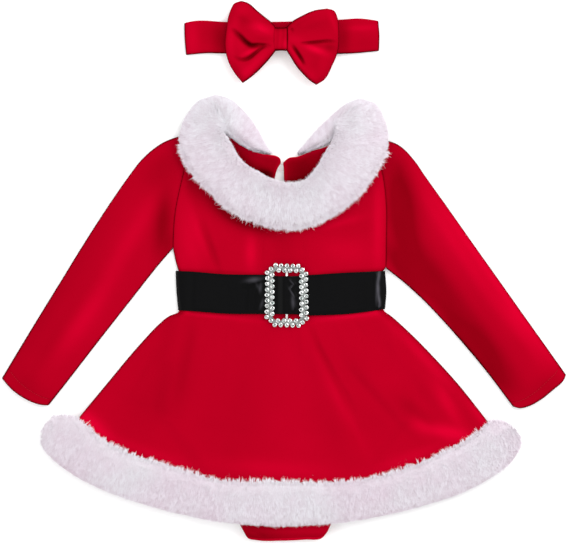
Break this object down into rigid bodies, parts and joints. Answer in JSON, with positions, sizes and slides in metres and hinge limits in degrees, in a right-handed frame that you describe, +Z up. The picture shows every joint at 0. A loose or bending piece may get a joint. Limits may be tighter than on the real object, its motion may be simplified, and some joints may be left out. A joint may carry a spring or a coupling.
{
  "type": "baby santa dress with matching headband",
  "caption": "Baby's long-sleeved velvet bodysuit dress with fur collar and hem, ribbon belt and jewelled buckle, laid flat beside its bow headband.",
  "frame": {"origin": "on the floor under the middle of the laid-out set's box", "axes": "+X to the viewer's right (the sleeve on the right of the picture), +Y from the hem towards the headband, +Z up off the floor"},
  "size_m": [0.5646, 0.5394, 0.0246],
  "materials": {
    "velvet": "red stretch velvet with a short soft nap",
    "fur": "white fur cloth with a pile of about 10 mm",
    "ribbon": "black satin ribbon",
    "buckle_metal": "bright plated frame",
    "stones": "clear foil-backed rhinestones",
    "button": "plain pearly button",
    "loop": "thin elastic loop"
  },
  "bodies": {
    "root": {"bodice_front": "velvet", "bodice_back": "velvet", "sleeve_left": "velvet", "sleeve_right": "velvet", "skirt_front": "velvet", "skirt_back": "velvet", "brief_front": "velvet", "brief_back": "velvet", "headband_band": "velvet", "bow_left": "velvet", "bow_right": "velvet", "bow_knot": "velvet", "collar_front": "fur", "collar_back_left": "fur", "collar_back_right": "fur", "hem_fur_front": "fur", "hem_fur_back": "fur", "belt": "ribbon", "buckle": "buckle_metal", "neck_button": "button", "button_loop": "loop"}
  },
  "joints": []
}
